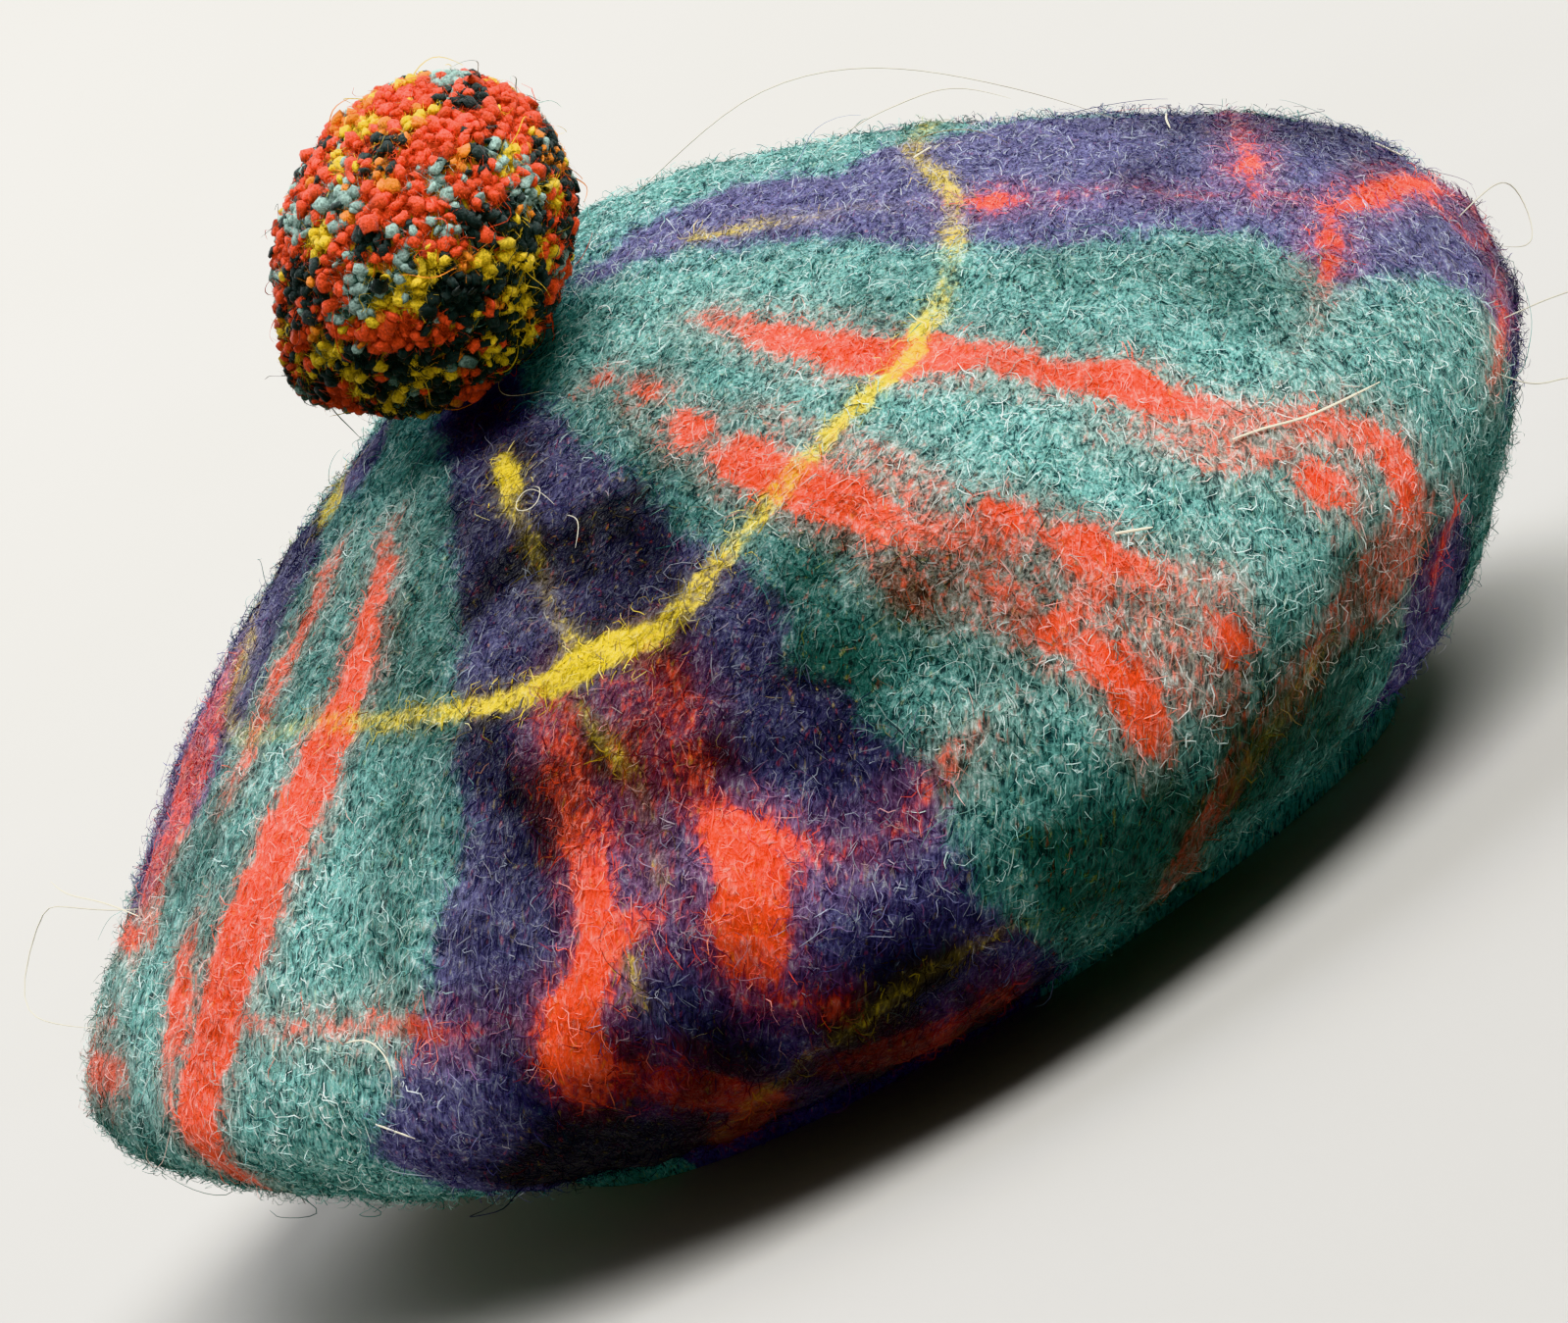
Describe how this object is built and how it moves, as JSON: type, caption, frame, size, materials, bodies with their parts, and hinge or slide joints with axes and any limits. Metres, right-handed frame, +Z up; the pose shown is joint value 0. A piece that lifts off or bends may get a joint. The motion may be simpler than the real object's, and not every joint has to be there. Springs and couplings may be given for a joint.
{
  "type": "tam o shanter",
  "caption": "Felted wool tam o' shanter in tartan: a soft, full round crown drawn in to an open oval mouth, with a pompom of cut yarn sewn near the top.",
  "frame": {"origin": "on the surface that the cap rests on, under the middle of its outline", "axes": "+Z up out of the top of the cap, -Y towards the wearer's front, -X towards the wearer's right side"},
  "size_m": [0.2832, 0.2984, 0.1865],
  "materials": {
    "felt": "fulled tartan wool felt, teal green and navy with red and yellow lines, thickly brushed with loose fibre",
    "pompom_yarn": "cut wool yarn, mixed red, yellow, green and navy",
    "sewing_yarn": "dark twisted sewing yarn"
  },
  "bodies": {
    "root": {"crown": "felt", "pompom": "pompom_yarn", "pompom_tie": "sewing_yarn"}
  },
  "joints": []
}
